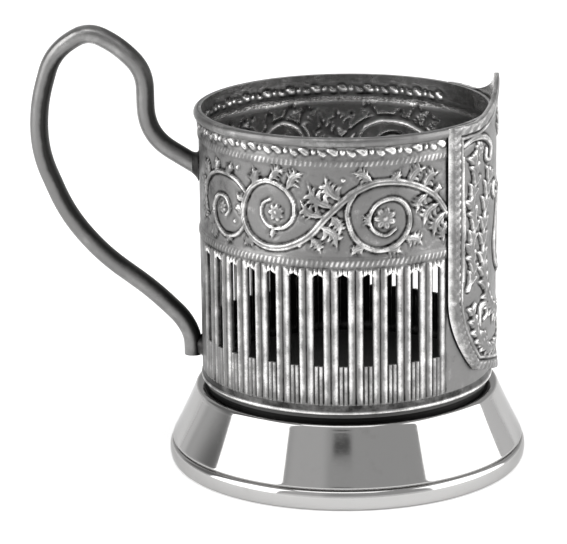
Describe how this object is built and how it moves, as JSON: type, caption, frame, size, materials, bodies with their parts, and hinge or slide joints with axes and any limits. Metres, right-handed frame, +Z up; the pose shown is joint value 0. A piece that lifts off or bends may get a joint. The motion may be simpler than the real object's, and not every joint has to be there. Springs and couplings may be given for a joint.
{
  "type": "tea glass holder",
  "caption": "Metal tea glass holder: straight sleeve with pierced piano-key slots and a raised front shield, looped strap handle and a flared polished foot.",
  "frame": {"origin": "on the cup's axis, in the plane that the foot stands on", "axes": "+Z up along the cup's axis, +X from the handle towards the front shield, +Y completing a right-handed frame"},
  "size_m": [0.1163, 0.085, 0.1043],
  "materials": {
    "antiqued_relief": "silver plated sheet, blackened in the hollows and rubbed bright on the high relief",
    "handle_metal": "silver plated strap, satin with a darker inner side",
    "polished_foot": "silver plated spun sheet, mirror polished",
    "plain_inside": "plain plated sheet, dull and toned",
    "solder": "dull grey solder"
  },
  "bodies": {
    "root": {"sleeve": "antiqued_relief", "rim_band": "antiqued_relief", "front_panel": "antiqued_relief", "handle": "handle_metal", "handle_upper_solder": "solder", "handle_lower_solder": "solder", "sleeve_seam_solder": "solder", "floor_plate": "plain_inside", "neck_ring": "plain_inside", "foot_skirt": "polished_foot", "foot_ring": "polished_foot"}
  },
  "joints": []
}
